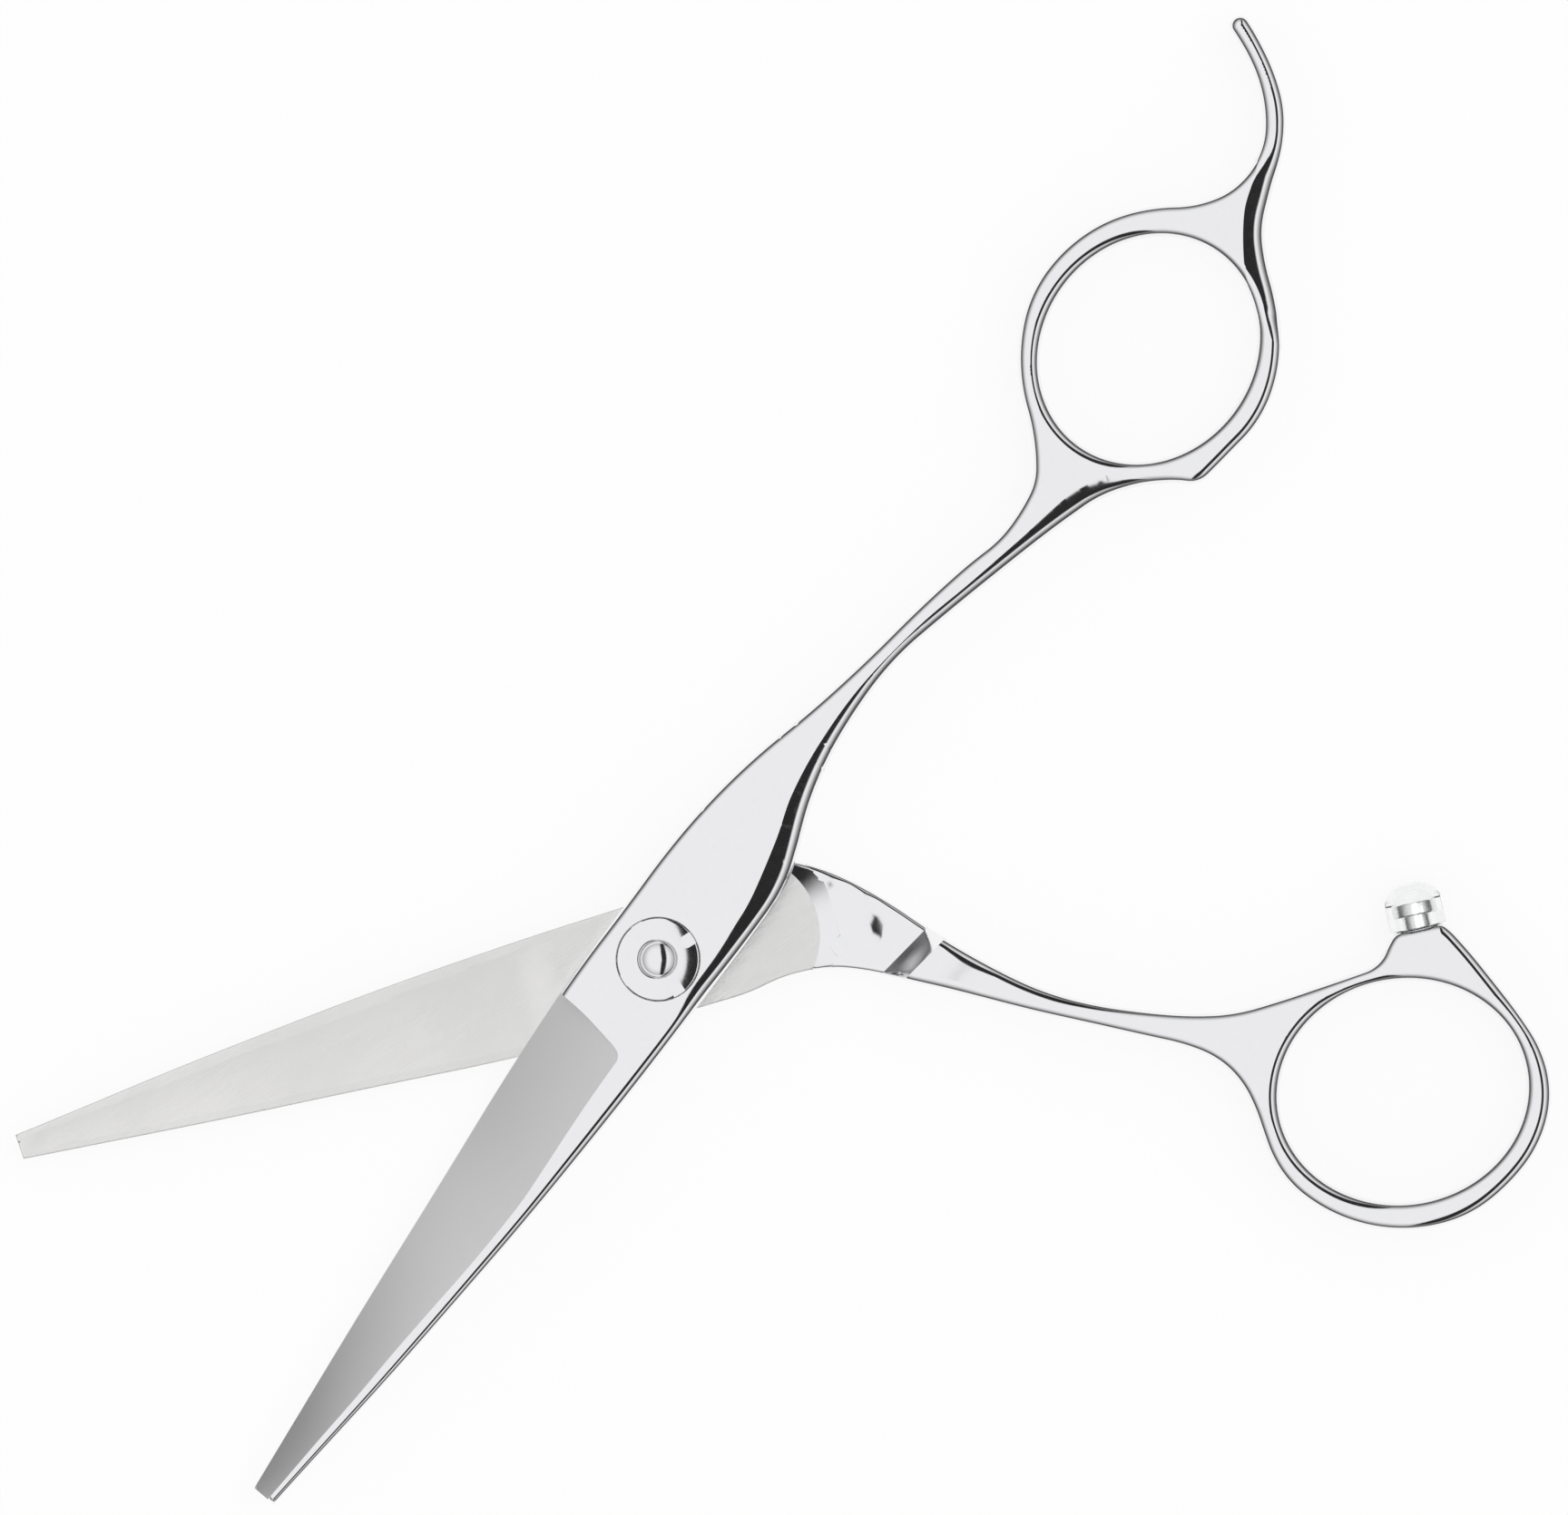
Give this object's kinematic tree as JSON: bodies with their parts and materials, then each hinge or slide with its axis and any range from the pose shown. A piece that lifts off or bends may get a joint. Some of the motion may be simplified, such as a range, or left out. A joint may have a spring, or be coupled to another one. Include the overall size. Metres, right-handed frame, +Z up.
{
  "type": "hair cutting shears",
  "caption": "Hair cutting shears with offset polished handles, two oval rings, a fixed finger rest, convex hollow-ground blades, a flush tension dial and a clear bumper.",
  "frame": {"origin": "on the pivot axis, in the plane under the pivot bolt that the shears rest on", "axes": "+Z up along the pivot axis, from the thumb half to the finger half; +X between the open blades towards their tips; +Y from the finger rings' side to the lower blade's far side"},
  "size_m": [0.1406, 0.0947, 0.0066],
  "materials": {
    "blade_steel": "satin ground",
    "polished_steel": "mirror polished",
    "bushing_steel": "turned",
    "washer_plastic": "plain",
    "pivot_steel": "polished",
    "stud_steel": "turned",
    "clear_bumper": "clear and smooth"
  },
  "bodies": {
    "thumb_half": {"lower_blade": "blade_steel", "thumb_handle": "polished_steel", "pivot_bolt": "pivot_steel", "click_spring": "pivot_steel", "bumper_stud": "stud_steel", "bumper_cap": "clear_bumper"},
    "finger_half": {"upper_blade": "blade_steel", "finger_handle": "polished_steel", "pivot_bushing": "bushing_steel", "bearing_washer": "washer_plastic"},
    "dial": {"tension_dial": "pivot_steel"}
  },
  "joints": [
    {"name": "pivot", "type": "hinge", "parent": "thumb_half", "child": "finger_half", "pos_m": [0, 0, 0.003], "axis": [0, 0, 1], "range_deg": [-35.5, 50]},
    {"name": "dial_turn", "type": "hinge", "parent": "thumb_half", "child": "dial", "pos_m": [0, 0, 0.0055], "axis": [0, 0, 1], "range_deg": [-90, 90]}
  ]
}
